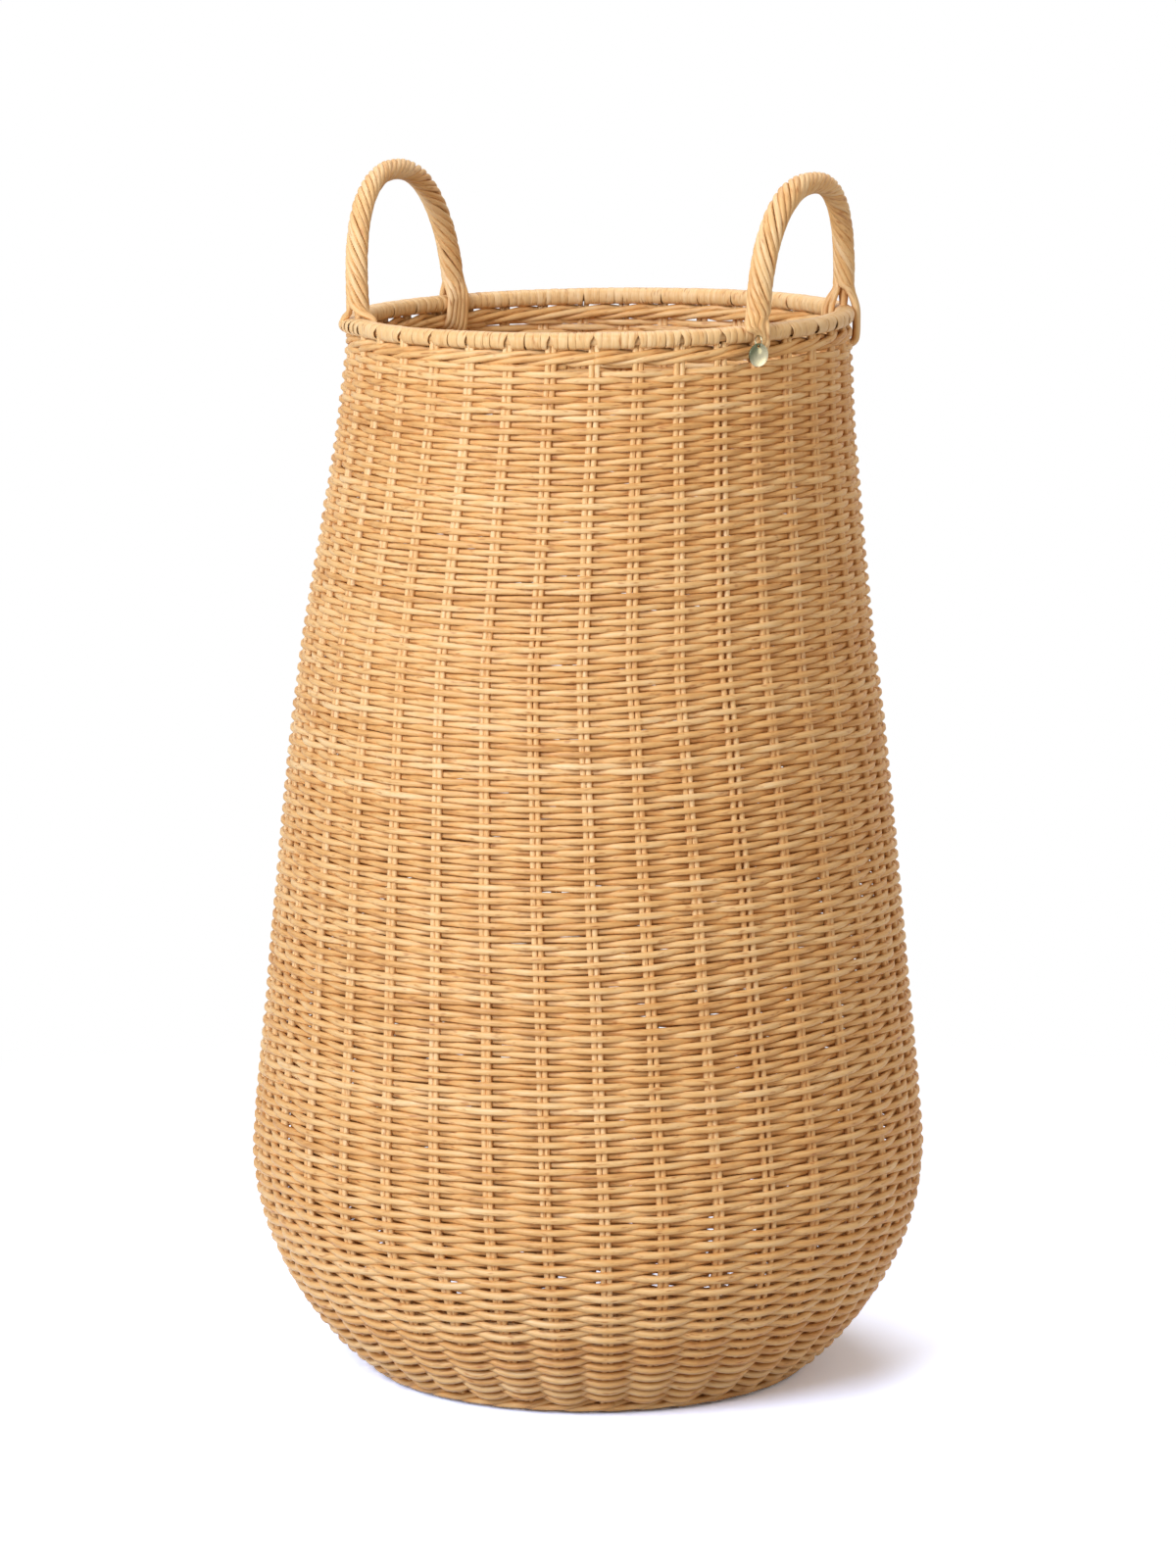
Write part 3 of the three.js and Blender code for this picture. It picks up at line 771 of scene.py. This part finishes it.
def base_weave():
    rods = Rods(section(8))
    source = draws("base weave")
    first_radius, last_radius = BASE_WEAVE_RADII
    turns = (last_radius - first_radius) / BASE_WEAVE_PITCH
    places = np.arange(0, turns * STAKE_COUNT, 1 / BASE_WEAVE_STEPS)
    radius = first_radius + BASE_WEAVE_PITCH * places / STAKE_COUNT
    angle = FIRST_STAKE + STAKE_DRIFT + TURN * places / STAKE_COUNT
    inner = np.cos(pi * places * CLOSE_WAVES / STAKE_COUNT)
    outer = np.cos(pi * places)
    share = smooth_step(*PARTING, radius)
    height = BASE_MIDDLE + BASE_SWING * (inner * (1 - share) + outer * share)
    path = turned_points(radius + wander(source, places, 1, 0.2), angle, height)
    cuts = [0]
    while cuts[-1] < len(places) - BASE_RODS[1]:
        cuts.append(cuts[-1] + int(source.integers(*BASE_RODS)))
    for start, end in zip(cuts, cuts[1:] + [len(places)]):
        thick = BASE_WEAVE_ROD * source.uniform(0.94, 1.05)
        rods.add(path[start : end + 2], thick, UP, source.uniform(0, 1))
    return rods


fit_out(base_spokes().mesh("spokes"), "rattan_stakes", "base_spokes")
fit_out(base_weave().mesh("weave_base"), "rattan_weave", "base_weave")


# The rim: two hoops, and a flat cane strip wound round them and the tips of the stakes

RIM_MIDDLE = (RIM_BOTTOM + RIM_TOP) / 2
RIM_HALF_HEIGHT = (RIM_TOP - RIM_BOTTOM) / 2
HOOP_FROM_MIDDLE = 2.5
HOOP_RISE = 0.5
HOOP_HALF_THICKNESS = 1.5
HOOP_HALF_HEIGHT = 3.3


def rim_lift(angle):
    return RIM_LIFT * np.sin(angle - LIFT_ANGLE)


def rim_hoop(name, radius):
    rods = Rods(section(10))
    angle = np.linspace(0, TURN, 241)
    path = turned_points(radius, angle, RIM_MIDDLE + HOOP_RISE + rim_lift(angle), MOUTH_LEAN)
    wide = HOOP_HALF_HEIGHT / HOOP_HALF_THICKNESS
    outward = turned_points(1, angle, 0)
    rods.add(path, HOOP_HALF_THICKNESS, outward, draws(name).uniform(0, 1), wide=wide)
    fit_out(rods.mesh(name), "rattan_stakes", name.replace("hoop", "rim_hoop"))


rim_hoop("hoop_outer", RIM_RADIUS + HOOP_FROM_MIDDLE)
rim_hoop("hoop_inner", RIM_RADIUS - HOOP_FROM_MIDDLE)

STRIP_SECTION = [(-1, -0.3), (-1, 0.1), (-0.85, 0.3), (0, 0.38), (0.85, 0.3), (1, 0.1), (1, -0.3), (0, -0.2)]
STRIP_STEPS = 30
STRIP_OPEN = 0.25  # angle under the rim that a wrap leaves open
STRIP_FILL = 0.985  # width of a wrap as a share of its place
STRIP_UNDER = 0.3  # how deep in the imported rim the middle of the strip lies
STRIP_SQUARENESS = 2.5
MANY_WRAPS = 0.68  # share of the gaps between stakes with five wraps, not four
WRAP_SPREAD = 0.03
WRAP_LEAN = (-0.02, 0.03)
NOTCH_WIDTHS = (0.05, 0.1)  # where the wraps part round the tip of a stake, as a share of the gap
WIDE_WRAPS = (radians(-38), radians(16))  # at the right handle, where two wraps fill a gap
SWELL = 3.9  # the strip also goes over strands of the left handle at its front foot
SWELL_ANGLE = radians(-152)
SWELL_REACH = radians(6.5)


def rim_binding():
    rods = Rods(STRIP_SECTION)
    source = draws("binding")
    around = np.linspace(-0.5, 0.5, STRIP_STEPS + 1) * (TURN - STRIP_OPEN)  # zero on top, growing outwards
    quarters = around / (pi / 2)
    lower = smooth_step(0.45, 1.15, quarters) + 0.3 * smooth_step(0.6, 1.2, -quarters)
    gap_angle = TURN / STAKE_COUNT
    gap_width = gap_angle * (RIM_RADIUS + RIM_HALF_WIDTH)
    shade = 0.5 + wander(source, np.arange(STAKE_COUNT), 3, 0.3)
    for number in range(STAKE_COUNT):
        wraps = 5 if source.uniform() < MANY_WRAPS else 4
        if WIDE_WRAPS[0] < remainder(stake_angle(number), TURN) < WIDE_WRAPS[1]:
            wraps = 2
        edges = np.linspace(0, 1, wraps + 1)
        edges[1:-1] += source.uniform(-WRAP_SPREAD, WRAP_SPREAD, wraps - 1)
        for place in range(wraps):
            notch = source.uniform(*NOTCH_WIDTHS) * lower
            left = edges[place] + notch * (place == 0)
            right = edges[place + 1] - notch * (place == wraps - 1)
            lean = source.uniform(*WRAP_LEAN) * around / pi
            middle = stake_angle(number) + gap_angle * ((left + right) / 2 + lean)
            half = (right - left) / 2 * gap_width * STRIP_FILL
            add_strip(rods, source, around, middle, half, shade[number] + source.uniform(-0.08, 0.08))
    return rods


def add_strip(rods, source, around, middle, half, shade):
    """One wrap of the strip, of this half width along its middle line."""
    power = 2 / STRIP_SQUARENESS
    out = np.sign(np.sin(around)) * np.abs(np.sin(around)) ** power
    up = np.sign(np.cos(around)) * np.abs(np.cos(around)) ** power
    proud = source.uniform(-0.12, 0.12)
    from_swell = np.angle(np.exp(1j * (middle - SWELL_ANGLE)))
    swollen = SWELL * np.exp(-(from_swell**2) / SWELL_REACH**2) * (out > 0)
    radius = RIM_RADIUS + (RIM_HALF_WIDTH - STRIP_UNDER + proud + swollen) * out
    height = RIM_MIDDLE + (RIM_HALF_HEIGHT - STRIP_UNDER + proud) * up + rim_lift(middle)
    path = turned_points(radius, middle, height, MOUTH_LEAN)
    outward = turned_points(np.sin(around), middle, np.cos(around))
    rods.add(path, 1, outward, shade, wide=half)


fit_out(rim_binding().mesh("binding"), "cane_binding", "rim_binding")


# The handles: a bow inside, and strands twisted round it that part at each foot and straddle the rim

STRAND_WIDTH = 1.08  # share of its thickness, where a strand is pressed against the next
STRAND_ROUNDNESS = 0.84
FOOT_PITCH = 66  # length of one turn of a strand near the feet
TOP_PITCH = 57
PITCH_STEPS = 200
DOWN = 40  # how far the middle line of a handle goes on below the rim's top
# Width of a rope by the share of its length
LEFT_ROPE = [(0, 13.6), (0.3, 13.0), (0.5, 12.3), (0.6, 11.8), (0.75, 12.7), (1, 13.5)]
RIGHT_ROPE = [(0, 12.8), (0.35, 12.6), (0.5, 12.6), (0.64, 14.7), (0.85, 14.6), (1, 14.2)]


class Arch:
    """The middle line of a handle in the frame of the part, from its foot on +Y to its foot on -Y."""

    def __init__(self, side, turn, half_span, rise, apex_shift, squareness, bend):
        t = np.linspace(0, pi, 361)
        power = 2 / squareness
        across = np.sign(np.cos(t)) * np.abs(np.cos(t)) ** power
        up = np.clip(np.sin(t), 0, 1) ** power
        up[[0, -1]] = 0
        chord = RIM_RADIUS * cos(radians(half_span))
        x = side * (chord + apex_shift * up**bend)
        y = RIM_RADIUS * sin(radians(half_span)) * across
        cosine, sine = cos(radians(turn)), sin(radians(turn))
        line = np.stack([x * cosine - y * sine + MOUTH_LEAN, x * sine + y * cosine, RIM_TOP + rise * up], 1)
        length = lengths_along(line)
        self.total = length[-1]
        self.feet = line[[0, -1]]
        self.length = np.concatenate([[-DOWN], length, [self.total + DOWN]])
        self.line = np.concatenate([line[:1] - DOWN * UP, line, line[-1:] - DOWN * UP])

    def point(self, length):
        return np.stack([np.interp(length, self.length, self.line[:, axis]) for axis in range(3)], 1)

    def at(self, length):
        """Middle, direction and outward direction at lengths along the arch."""
        middle = self.point(length)
        direction = unit(self.point(length + 1.5) - self.point(length - 1.5))
        outward = (middle - [MOUTH_LEAN, 0, 0]) * [1, 1, 0]
        return middle, direction, unit(outward - (outward * direction).sum(1, keepdims=True) * direction)


class Rope:
    """Strands twisted round an arch, by the width that they have together along it."""

    def __init__(self, arch, widths, strands, phase):
        self.arch = arch
        self.widths = widths
        self.strands = strands
        self.phase = phase
        self.share = np.linspace(0, 1, PITCH_STEPS)
        pitch = FOOT_PITCH + (TOP_PITCH - FOOT_PITCH) * np.sin(pi * self.share) ** 2
        steps = TURN * arch.total / (PITCH_STEPS - 1) / pitch
        self.turned = np.concatenate([[0], np.cumsum((steps[1:] + steps[:-1]) / 2)])

    def twist(self, length):
        """How far a strand has turned, also past the ends of the arch."""
        inside = np.clip(length, 0, self.arch.total)
        past = (length - inside) * TURN / FOOT_PITCH
        return np.interp(inside / self.arch.total, self.share, self.turned) + past

    def radius(self, length):
        """From the middle of the rope to the middle of a strand."""
        return by_table(length / self.arch.total, self.widths) / 2 - HANDLE_ROD

    def places(self, strand, length, loose=0.0):
        """Points of one strand and the direction out of the rope there."""
        middle, direction, outward = self.arch.at(length)
        round_it = self.phase + TURN * strand / self.strands - self.twist(length) + loose
        beside = np.cross(direction, outward)
        away = outward * np.cos(round_it)[:, None] + beside * np.sin(round_it)[:, None]
        return middle + self.radius(length)[:, None] * away, away


# The feet: above each foot of a handle its strands part, and go down outside or inside the rim into the weave

SPLIT_AHEAD = 8  # a strand goes down on the side that its twist would bring it to this much later
OVER_RIM = RIM_HALF_WIDTH + HANDLE_ROD


def lie(spread, shift, tuck, slope=0.0, layer=0.0):
    """How strands lie over one side of the rim: their spacing and sideways shift, each at its top and where
    they are tucked in, the height of that, how much higher each next one ends, and how proud every other
    one lies."""
    return spread, shift, tuck, slope, layer


# For each foot: how far above the rim the strands part, how many go down outside, how they lie on each side
LEFT_FEET = [
    (10, 3, lie((3.2, 2.8), (0, 0), 609), lie((2.9, 2.9), (1.6, 3.2), 611, slope=1.2)),
    (6, 2, lie((2.6, 2.4), (-7, -8), 622), lie((3.2, 3.0), (2, 4), 610)),
]
RIGHT_FEET = [
    (15, 5, lie((2.6, 2.2), (1, 0), 608, layer=0.7), lie((3.0, 3.0), (1, 0), 608, layer=3)),
    (9, 6, lie((2.6, 1.0), (-6.2, -2.6), 619.5, slope=-1.2, layer=0.8), lie((3.2, 3.0), (1, 2), 610)),
]


def foot_spot(angle, outwards, sideways, height):
    """A point near a foot: so far outwards from the middle of the rim and sideways along it."""
    outward, aside = facing(angle)
    centre = np.array([MOUTH_LEAN, 0, height + rim_lift(angle)])
    return centre + (RIM_RADIUS + outwards) * outward + sideways * aside


def strand_ends(rope, end, foot):
    """The free stretch of each strand at one foot, from the twist down to where it is tucked in."""
    part, count, outside, inside = foot
    place = rope.arch.feet[end] - [MOUTH_LEAN, 0, 0]
    angle = atan2(place[1], place[0])
    radial, aside = facing(angle)
    way = 1 if end else -1
    start = rope.arch.total - part if end else part
    split = np.array([start + way * SPLIT_AHEAD])
    ahead = [rope.places(strand, split)[1][0] for strand in range(rope.strands)]
    order = sorted(range(rope.strands), key=lambda strand: -float(ahead[strand] @ radial))
    result = {}
    for sign, lined, how in ((1, order[:count], outside), (-1, order[count:], inside)):
        lined = sorted(lined, key=lambda strand: float(ahead[strand] @ aside))
        for rank, strand in enumerate(lined):
            step = rank - (len(lined) - 1) / 2
            twisted, away = rope.places(strand, start + way * np.array([-5.0, 0.0, 4.0]))
            result[strand] = one_end(angle, sign, step, how, part, twisted, away, rank % 2)
    return result


def one_end(angle, sign, step, how, part, twisted, away, proud):
    """One strand from the twist, over the side of the rim and into the wall below it."""
    spread, shift, tuck, slope, layer = how
    top = step * spread[0] + shift[0]
    knot = step * spread[1] + shift[1]
    tuck = tuck + step * slope
    side = sign * (OVER_RIM + proud * layer)
    leaving = foot_spot(angle, sign * (OVER_RIM - 2), top, RIM_TOP + part - 4)
    spots = [
        twisted[0],
        twisted[1],
        0.62 * twisted[2] + 0.38 * leaving,
        foot_spot(angle, side - 0.5 * sign, top, RIM_TOP - 0.5),
        foot_spot(angle, side, (top + knot) / 2, (RIM_TOP - 1 + tuck + 4) / 2),
        foot_spot(angle, side - 0.6 * sign, knot, tuck + 3),
        foot_spot(angle, side - 4 * sign, knot, tuck - 0.5),
        foot_spot(angle, side - 7.5 * sign, knot, tuck - 2),
    ]
    steps = 6
    path = curve_through(spots, steps)[steps + 1 :]
    share = np.linspace(0, 1, len(path))[:, None] ** 0.5
    return path, unit(away[1] * (1 - share) + sign * facing(angle)[0] * share)


def handle(name, rope, feet):
    rods = Rods(section(10, STRAND_ROUNDNESS))
    source = draws(name)
    ends = [strand_ends(rope, end, feet[end]) for end in (0, 1)]
    length = np.linspace(feet[0][0], rope.arch.total - feet[1][0], 120)
    settled = smooth_step(0, 15, length - length[0]) * smooth_step(0, 15, length[-1] - length)
    for strand in range(rope.strands):
        path, away = rope.places(strand, length, settled * wander(source, length, 24, 0.09))
        (first, first_away), (last, last_away) = (end[strand] for end in ends)
        path = np.concatenate([first[::-1], path, last])
        away = np.concatenate([first_away[::-1], away, last_away])
        thick = HANDLE_ROD * source.uniform(0.95, 1.06)
        radius = thick * (1 + wander(source, np.arange(len(path)), 20, 0.04))
        rods.add(path, radius, away, source.uniform(0, 1), wide=STRAND_WIDTH)
    return rods


BOW_DOWN = 8  # how far the ends of a bow go into the rim
BOW_END_ROD = 2


def bow(name, rope):
    """The plain rod inside a handle, down to the hoops of the rim. It fills what the strands leave free."""
    rods = Rods(section(10))
    length = np.linspace(-BOW_DOWN, rope.arch.total + BOW_DOWN, 81)
    middle, _, outward = rope.arch.at(length)
    full = smooth_step(-4, 12, length) * smooth_step(-4, 12, rope.arch.total - length)
    radius = BOW_END_ROD + (rope.radius(length) - HANDLE_ROD - BOW_END_ROD) * full
    rods.add(middle, radius, outward, draws(name).uniform(0, 1))
    return rods


for side, shape, widths, feet, strands, phase in (
    ("left", LEFT_HANDLE, LEFT_ROPE, LEFT_FEET, 8, 0.2),
    ("right", RIGHT_HANDLE, RIGHT_ROPE, RIGHT_FEET, 9, 0.9),
):
    rope = Rope(Arch(**shape), widths, strands, phase)
    twisted = handle(f"{side} rope", rope, feet)
    fit_out(twisted.mesh(f"{side}_strands"), "rattan_rope", f"handle_{side}_rope")
    core = bow(f"{side} bow", rope)
    fit_out(core.mesh(f"{side}_bow"), "rattan_stakes", f"handle_{side}_bow")


# The tag: a bare disc with a raised edge, on a wire ring

TAG_WIRE = 0.36
HOLE_FROM_EDGE = 1.8
HOLE_RADIUS = 0.95
HOLE_LIP = 1.12  # width of the sink round the hole, by that of the hole
DISC_STEPS = 64
DISC_BACK = 0.5
DISC_FACE = 5.6  # radius of the flat face inside the raised edge
# Radius and place through the disc, from its back over the raised edge to the flat face
DISC_EDGE = [(6.35, -DISC_BACK), (6.62, -0.4), (TAG_RADIUS, -0.15), (TAG_RADIUS, 0.2), (6.6, 0.42)]
DISC_EDGE += [(6.35, 0.5), (6.1, 0.46), (5.85, 0.28), (DISC_FACE, 0.2)]
DISC_MIDDLE_TONE = 0.48  # tone in the middle of the disc, from which the painted shade grows darker to the upper left and lighter to the lower right
DISC_PAINTED_SHADE = 0.3  # painted shade: how much darker the disc gets towards the upper left, and lighter towards the lower right

outward_of_tag, along_tag = facing(TAG_ANGLE)
ring_centre = np.array([MOUTH_LEAN, 0, TAG_RING_HEIGHT]) + TAG_RING_CENTRE * outward_of_tag


def tag_ring():
    rods = Rods(section(12))
    around = np.linspace(0, TURN, 49)
    away = np.cos(around)[:, None] * outward_of_tag + np.sin(around)[:, None] * UP
    rods.add(ring_centre + TAG_RING_RADIUS * away, TAG_WIRE, away, 0.5)
    return rods


fit_out(tag_ring().mesh("ring"), "brass_tag", "tag_ring")


def disc_rings():
    """Rings of points and their place through the disc, from the hole over back, edge and face to it."""
    around = np.arange(DISC_STEPS) * TURN / DISC_STEPS
    circle = np.stack([np.sin(around), np.cos(around)], 1)
    centre = np.array([0, TAG_RADIUS - HOLE_FROM_EDGE])
    hole = centre + HOLE_RADIUS * circle
    lip = centre + (hole - centre) * HOLE_LIP
    back = [(hole, -0.32), (hole, -0.42), (lip, -DISC_BACK)]
    edge = [(circle * radius, place) for radius, place in DISC_EDGE]
    face = [((lip + circle * DISC_FACE) / 2, 0.22), (lip, 0.2), (hole, 0.12), (hole, -0.1)]
    return back + edge + face


def tag_disc():
    rings = disc_rings()
    centre = ring_centre - (TAG_RING_RADIUS + TAG_RADIUS - HOLE_FROM_EDGE) * UP
    flat = np.concatenate([ring for ring, _ in rings])
    through = np.repeat([place for _, place in rings], DISC_STEPS)[:, None]
    points = centre + flat[:, :1] * along_tag + flat[:, 1:] * UP + through * outward_of_tag
    step = np.arange(DISC_STEPS)
    after = (step + 1) % DISC_STEPS
    here = np.arange(len(rings))[:, None] * DISC_STEPS
    there = np.roll(here, -1, axis=0)
    faces = np.stack([here + step, there + step, there + after, here + after], -1).reshape(-1, 4)
    # painted shade across the disc: darker towards the upper left, lighter towards the lower right
    shade = DISC_MIDDLE_TONE + DISC_PAINTED_SHADE * (flat[:, 1] - flat[:, 0]) / TAG_RADIUS
    data = new_mesh("disc", points, faces, shade)
    data.update(calc_edges=True)
    return in_scene("disc", data)


fit_out(tag_disc(), "brass_tag", "tag_disc", body="tag")


# The room, in metres: a white floor that keeps the shadow, soft lamps and the camera of the photograph

CAMERA_PLACE = (1.1542, -3.5106, 0.9735)
CAMERA_TURN = 18.2
CAMERA_DIP = 9.587
LENS = 145.48
SENSOR_HEIGHT = 36
AMBIENT_COLOUR = (1, 0.9, 0.75, 1)
AMBIENT_STRENGTH = 0.34
FLOOR_SIZE = 9
FLOOR_COLOUR = (0.46, 0.45, 0.43, 1)
FLOOR_GAIN = (1.56, 1.72, 2.15, 1)  # to the camera, the lit floor is lifted to white
FLOOR_FADE = (0.42, 0.95)  # how far from the basket the floor goes over into plain white
AIM_HEIGHT = 0.33
# Turn from the camera's side about the basket and rise in degrees, distance, size, watts and colour
LAMPS = {
    "key": (-37, 27, 3.4, 2.2, 112, (0.95, 1.03, 1.15)),
    "fill": (62, 24, 3.4, 2.2, 20, (1, 0.9, 0.74)),
    "top": (170, 68, 3.0, 1.8, 34, (1, 1, 1)),
}


def white_to_camera(tree):
    """One where a ray comes from the camera, a mirror or clear glass, and zero elsewhere."""
    path = node(tree, "LightPath")
    seen = arithmetic(tree, "MAXIMUM", path.outputs["Is Camera Ray"], path.outputs["Is Glossy Ray"])
    return arithmetic(tree, "MAXIMUM", seen, path.outputs["Is Transmission Ray"])


def make_world():
    world = bpy.data.worlds.new("room")
    world.use_nodes = True
    bpy.context.scene.world = world
    tree = world.node_tree
    ambient = tree.nodes["Background"]
    feed(ambient, "Color", AMBIENT_COLOUR)
    feed(ambient, "Strength", AMBIENT_STRENGTH)
    white = node(tree, "Background", Color=(1, 1, 1, 1))
    shown = node(tree, "MixShader", white_to_camera(tree), ambient.outputs[0], white.outputs[0])
    feed(tree.nodes["World Output"], "Surface", shown.outputs[0])


def make_floor():
    bpy.ops.mesh.primitive_grid_add(x_subdivisions=8, y_subdivisions=8, size=FLOOR_SIZE)
    floor = bpy.context.object
    floor.name = "floor"
    material, tree, shader = new_material("floor_white")
    feed(shader, "Base Color", FLOOR_COLOUR)
    feed(shader, "Roughness", 0.9)
    feed(shader, "Specular IOR Level", 0)
    place = node(tree, "TexCoord").outputs["Object"]
    reach = node(tree, "VectorMath", place, operation="LENGTH").outputs["Value"]
    far = node(tree, "MapRange", reach, *FLOOR_FADE, interpolation_type="SMOOTHSTEP").outputs["Result"]
    glow = node(tree, "Emission").outputs[0]
    bright = node(tree, "BsdfDiffuse", Color=FLOOR_GAIN).outputs[0]
    seen = node(tree, "MixShader", far, bright, glow).outputs[0]
    shown = node(tree, "MixShader", white_to_camera(tree), shader.outputs[0], seen)
    feed(tree.nodes["Material Output"], "Surface", shown.outputs[0])
    floor.data.materials.append(material)


def make_lamp(name, turn, rise, distance, size, power, colour):
    """A round soft lamp, aimed at the basket."""
    data = bpy.data.lights.new(name, "AREA")
    data.shape = "DISK"
    data.size = size
    data.energy = power
    data.color = colour
    around = radians(turn + CAMERA_TURN - 90)
    level = distance * cos(radians(rise))
    height = AIM_HEIGHT + distance * sin(radians(rise))
    lamp = in_scene(name, data)
    lamp.location = (level * cos(around), level * sin(around), height)
    lamp.rotation_euler = (radians(90 - rise), 0, around + pi / 2)


def make_camera():
    data = bpy.data.cameras.new("camera")
    data.sensor_fit = "VERTICAL"
    data.sensor_height = SENSOR_HEIGHT
    data.lens = LENS
    camera = in_scene("camera", data)
    camera.location = CAMERA_PLACE
    camera.rotation_euler = (radians(90 - CAMERA_DIP), 0, radians(CAMERA_TURN))
    bpy.context.scene.camera = camera


make_camera()
make_world()
make_floor()
for lamp_name, lamp_sizes in LAMPS.items():
    make_lamp(lamp_name, *lamp_sizes)
bpy.context.scene.view_settings.view_transform = "Standard"
